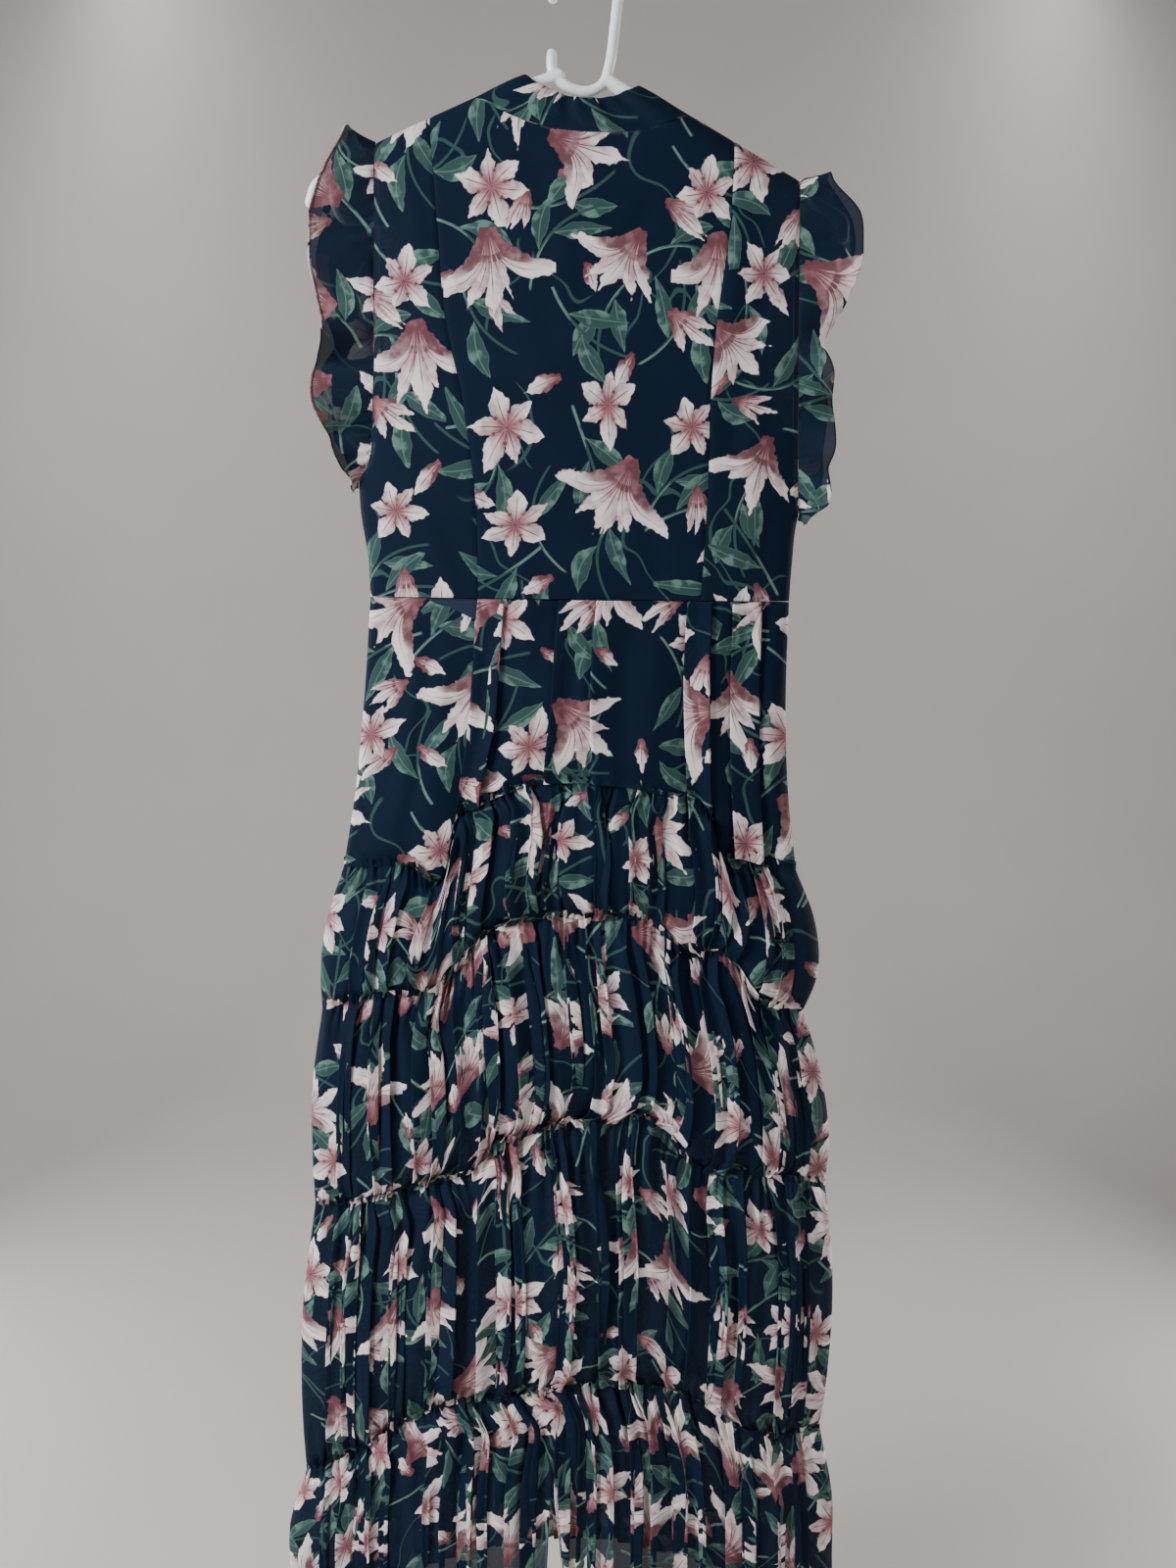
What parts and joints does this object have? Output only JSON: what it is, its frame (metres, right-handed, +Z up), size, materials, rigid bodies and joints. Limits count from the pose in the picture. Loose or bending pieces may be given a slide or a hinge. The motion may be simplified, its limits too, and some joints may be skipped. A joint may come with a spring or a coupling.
{
  "type": "maxi dress on hanger",
  "caption": "Sleeveless high-neck chiffon maxi dress with flutter ruffles, pleated yoke and gathered tiers, on a moulded hanger.",
  "frame": {"origin": "inside top of the hanger's hook, where a rod carries it", "axes": "+Z up; -Y towards the side that the picture shows, taken as the dress's back; +X to that side's right"},
  "size_m": [0.5716, 0.1264, 1.5929],
  "materials": {
    "printed_chiffon": "sheer matt chiffon, navy ground printed with pink lilies, buds and green leaves",
    "lining": "opaque navy woven lining with a faint sheen",
    "hanger_plastic": "glossy white moulding"
  },
  "bodies": {
    "root": {"hanger": "hanger_plastic", "collar": "printed_chiffon", "bodice_back_side_left": "printed_chiffon", "bodice_back_centre": "printed_chiffon", "bodice_back_side_right": "printed_chiffon", "bodice_front_left": "printed_chiffon", "bodice_front_right": "printed_chiffon", "lining_back": "lining", "lining_front": "lining", "ruffle_left": "printed_chiffon", "ruffle_right": "printed_chiffon", "yoke_back": "printed_chiffon", "yoke_front": "printed_chiffon", "tier_1_back": "printed_chiffon", "tier_1_front": "printed_chiffon", "tier_2_back": "printed_chiffon", "tier_2_front": "printed_chiffon", "tier_3_back": "printed_chiffon", "tier_3_front": "printed_chiffon", "tier_4_back": "printed_chiffon", "tier_4_front": "printed_chiffon", "slip": "lining"}
  },
  "joints": []
}
